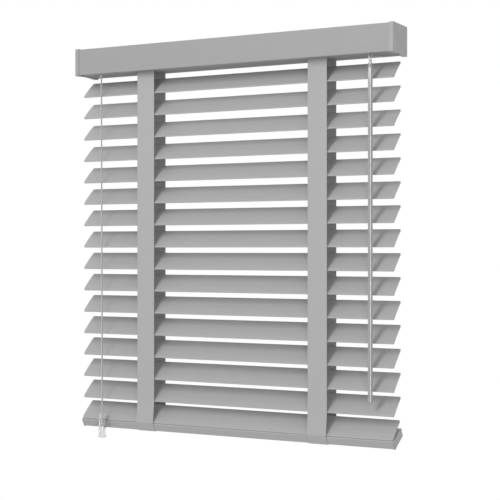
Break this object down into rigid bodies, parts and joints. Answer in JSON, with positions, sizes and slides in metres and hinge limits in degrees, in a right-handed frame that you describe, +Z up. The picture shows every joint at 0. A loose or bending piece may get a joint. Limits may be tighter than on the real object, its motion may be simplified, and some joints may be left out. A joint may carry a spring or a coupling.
{
  "type": "faux wood blind",
  "caption": "Venetian blind of crowned plastic slats on wide woven ladder tapes, with a boxed headrail, a weighted bottom rail, a lift cord with a clear tassel and a tilt wand",
  "frame": {"origin": "centre of the four fixing holes, on the top face of the brackets that meets the ceiling or lintel", "axes": "+X along the blind to the right as seen from the room, +Y back towards the window, +Z up"},
  "size_m": [0.669, 0.0744, 0.7633],
  "materials": {
    "slat_plastic": "light grey foamed plastic with a fine satin grain",
    "cap_plastic": "grey moulded plastic",
    "coated_steel": "grey stove enamel on bent sheet",
    "bare_steel": "zinc plated",
    "hardware_plastic": "plain moulded plastic",
    "tape_cloth": "close woven polyester tape",
    "cord_cloth": "braided polyester cord",
    "clear_plastic": "clear moulded plastic",
    "wand_plastic": "glossy faceted stick"
  },
  "bodies": {
    "head": {"headrail": "coated_steel", "fascia": "slat_plastic", "fascia_clips": "hardware_plastic", "end_cap_left": "cap_plastic", "end_cap_right": "cap_plastic", "bracket_left": "bare_steel", "bracket_right": "bare_steel", "drum_cradle_left": "hardware_plastic", "drum_cradle_right": "hardware_plastic", "tilter_housing": "hardware_plastic", "lock_housing": "hardware_plastic", "lock_pin": "bare_steel", "lift_cord_left": "cord_cloth", "lift_cord_right": "cord_cloth", "cord_tassel": "clear_plastic"},
    "tilt_shaft": {"tilt_rod": "bare_steel", "tape_drum_left": "hardware_plastic", "tape_drum_right": "hardware_plastic", "tilter_gear": "hardware_plastic"},
    "worm": {"tilter_worm": "hardware_plastic"},
    "link": {"wand_link": "bare_steel"},
    "stick": {"wand_cap": "wand_plastic", "wand": "wand_plastic"},
    "pawl": {"lock_pawl": "hardware_plastic"},
    "bottom": {"bottom_rail": "slat_plastic", "bottom_slat": "slat_plastic", "rail_cap_left": "cap_plastic", "rail_cap_right": "cap_plastic", "tape_plugs": "cap_plastic"},
    "front_tapes": {"tape_front_left": "tape_cloth", "tape_front_right": "tape_cloth"},
    "back_tapes": {"tape_back_left": "tape_cloth", "tape_back_right": "tape_cloth"},
    "slat_01_body": {"slat_01": "slat_plastic"},
    "slat_02_body": {"slat_02": "slat_plastic"},
    "slat_03_body": {"slat_03": "slat_plastic"},
    "slat_04_body": {"slat_04": "slat_plastic"},
    "slat_05_body": {"slat_05": "slat_plastic"},
    "slat_06_body": {"slat_06": "slat_plastic"},
    "slat_07_body": {"slat_07": "slat_plastic"},
    "slat_08_body": {"slat_08": "slat_plastic"},
    "slat_09_body": {"slat_09": "slat_plastic"},
    "slat_10_body": {"slat_10": "slat_plastic"},
    "slat_11_body": {"slat_11": "slat_plastic"},
    "slat_12_body": {"slat_12": "slat_plastic"},
    "slat_13_body": {"slat_13": "slat_plastic"},
    "slat_14_body": {"slat_14": "slat_plastic"},
    "slat_15_body": {"slat_15": "slat_plastic"}
  },
  "joints": [
    {"name": "bottom_tilt", "type": "hinge", "parent": "head", "child": "bottom", "pos_m": [0, 0, -0.732], "axis": [1, 0, 0], "range_deg": [-110.77, 27.69], "deforming": ["tape_front_left", "tape_front_right", "tape_back_left", "tape_back_right", "lift_cord_left", "lift_cord_right"]},
    {"name": "shaft_tilt", "type": "hinge", "parent": "head", "child": "tilt_shaft", "pos_m": [0, 0, -0.025], "axis": [1, 0, 0], "range_deg": [-110.79, 27.71]},
    {"name": "slat_01_tilt", "type": "hinge", "parent": "head", "child": "slat_01_body", "pos_m": [0, 0, -0.08], "axis": [1, 0, 0], "range_deg": [-110.79, 27.71]},
    {"name": "slat_02_tilt", "type": "hinge", "parent": "head", "child": "slat_02_body", "pos_m": [0, 0, -0.1225], "axis": [1, 0, 0], "range_deg": [-110.79, 27.71]},
    {"name": "slat_03_tilt", "type": "hinge", "parent": "head", "child": "slat_03_body", "pos_m": [0, 0, -0.165], "axis": [1, 0, 0], "range_deg": [-110.79, 27.71]},
    {"name": "slat_04_tilt", "type": "hinge", "parent": "head", "child": "slat_04_body", "pos_m": [0, 0, -0.2075], "axis": [1, 0, 0], "range_deg": [-110.79, 27.71]},
    {"name": "slat_05_tilt", "type": "hinge", "parent": "head", "child": "slat_05_body", "pos_m": [0, 0, -0.25], "axis": [1, 0, 0], "range_deg": [-110.79, 27.71]},
    {"name": "slat_06_tilt", "type": "hinge", "parent": "head", "child": "slat_06_body", "pos_m": [0, 0, -0.2925], "axis": [1, 0, 0], "range_deg": [-110.79, 27.71]},
    {"name": "slat_07_tilt", "type": "hinge", "parent": "head", "child": "slat_07_body", "pos_m": [0, 0, -0.335], "axis": [1, 0, 0], "range_deg": [-110.79, 27.71]},
    {"name": "slat_08_tilt", "type": "hinge", "parent": "head", "child": "slat_08_body", "pos_m": [0, 0, -0.3775], "axis": [1, 0, 0], "range_deg": [-110.79, 27.71]},
    {"name": "slat_09_tilt", "type": "hinge", "parent": "head", "child": "slat_09_body", "pos_m": [0, 0, -0.42], "axis": [1, 0, 0], "range_deg": [-110.79, 27.71]},
    {"name": "slat_10_tilt", "type": "hinge", "parent": "head", "child": "slat_10_body", "pos_m": [0, 0, -0.4625], "axis": [1, 0, 0], "range_deg": [-110.79, 27.71]},
    {"name": "slat_11_tilt", "type": "hinge", "parent": "head", "child": "slat_11_body", "pos_m": [0, 0, -0.505], "axis": [1, 0, 0], "range_deg": [-110.79, 27.71]},
    {"name": "slat_12_tilt", "type": "hinge", "parent": "head", "child": "slat_12_body", "pos_m": [0, 0, -0.5475], "axis": [1, 0, 0], "range_deg": [-110.79, 27.71]},
    {"name": "slat_13_tilt", "type": "hinge", "parent": "head", "child": "slat_13_body", "pos_m": [0, 0, -0.59], "axis": [1, 0, 0], "range_deg": [-110.79, 27.71]},
    {"name": "slat_14_tilt", "type": "hinge", "parent": "head", "child": "slat_14_body", "pos_m": [0, 0, -0.6325], "axis": [1, 0, 0], "range_deg": [-110.79, 27.71]},
    {"name": "slat_15_tilt", "type": "hinge", "parent": "head", "child": "slat_15_body", "pos_m": [0, 0, -0.675], "axis": [1, 0, 0], "range_deg": [-110.79, 27.71]},
    {"name": "front_tape_shift", "type": "hinge", "parent": "bottom", "child": "front_tapes", "pos_m": [0, -0.01811, -0.74775], "axis": [1, 0, 0], "range_deg": [-27.71, 110.79]},
    {"name": "back_tape_shift", "type": "hinge", "parent": "bottom", "child": "back_tapes", "pos_m": [0, 0.01811, -0.71625], "axis": [1, 0, 0], "range_deg": [-27.71, 110.79]},
    {"name": "worm_turn", "type": "hinge", "parent": "head", "child": "worm", "pos_m": [0.288, -0.0295, -0.056], "axis": [0, 0.342, 0.9397], "range_deg": [-1441, 361]},
    {"name": "wand_turn", "type": "hinge", "parent": "head", "child": "link", "pos_m": [0.288, -0.0295, -0.056], "axis": [0, 0, 1], "range_deg": [-1441, 361]},
    {"name": "wand_swing", "type": "hinge", "parent": "link", "child": "stick", "pos_m": [0.288, -0.0295, -0.065], "axis": [0, -1, 0], "range_deg": [-45, 45]},
    {"name": "pawl_lift", "type": "hinge", "parent": "head", "child": "pawl", "pos_m": [-0.271, -0.02555, -0.0335], "axis": [0, 1, 0], "range_deg": [0, 25]}
  ],
  "couplings": [
    {"joint": "shaft_tilt", "follows": "bottom_tilt", "ratio": 1},
    {"joint": "slat_01_tilt", "follows": "bottom_tilt", "ratio": 1},
    {"joint": "slat_02_tilt", "follows": "bottom_tilt", "ratio": 1},
    {"joint": "slat_03_tilt", "follows": "bottom_tilt", "ratio": 1},
    {"joint": "slat_04_tilt", "follows": "bottom_tilt", "ratio": 1},
    {"joint": "slat_05_tilt", "follows": "bottom_tilt", "ratio": 1},
    {"joint": "slat_06_tilt", "follows": "bottom_tilt", "ratio": 1},
    {"joint": "slat_07_tilt", "follows": "bottom_tilt", "ratio": 1},
    {"joint": "slat_08_tilt", "follows": "bottom_tilt", "ratio": 1},
    {"joint": "slat_09_tilt", "follows": "bottom_tilt", "ratio": 1},
    {"joint": "slat_10_tilt", "follows": "bottom_tilt", "ratio": 1},
    {"joint": "slat_11_tilt", "follows": "bottom_tilt", "ratio": 1},
    {"joint": "slat_12_tilt", "follows": "bottom_tilt", "ratio": 1},
    {"joint": "slat_13_tilt", "follows": "bottom_tilt", "ratio": 1},
    {"joint": "slat_14_tilt", "follows": "bottom_tilt", "ratio": 1},
    {"joint": "slat_15_tilt", "follows": "bottom_tilt", "ratio": 1},
    {"joint": "front_tape_shift", "follows": "bottom_tilt", "ratio": -1},
    {"joint": "back_tape_shift", "follows": "bottom_tilt", "ratio": -1},
    {"joint": "worm_turn", "follows": "bottom_tilt", "ratio": 13},
    {"joint": "wand_turn", "follows": "bottom_tilt", "ratio": 13}
  ]
}
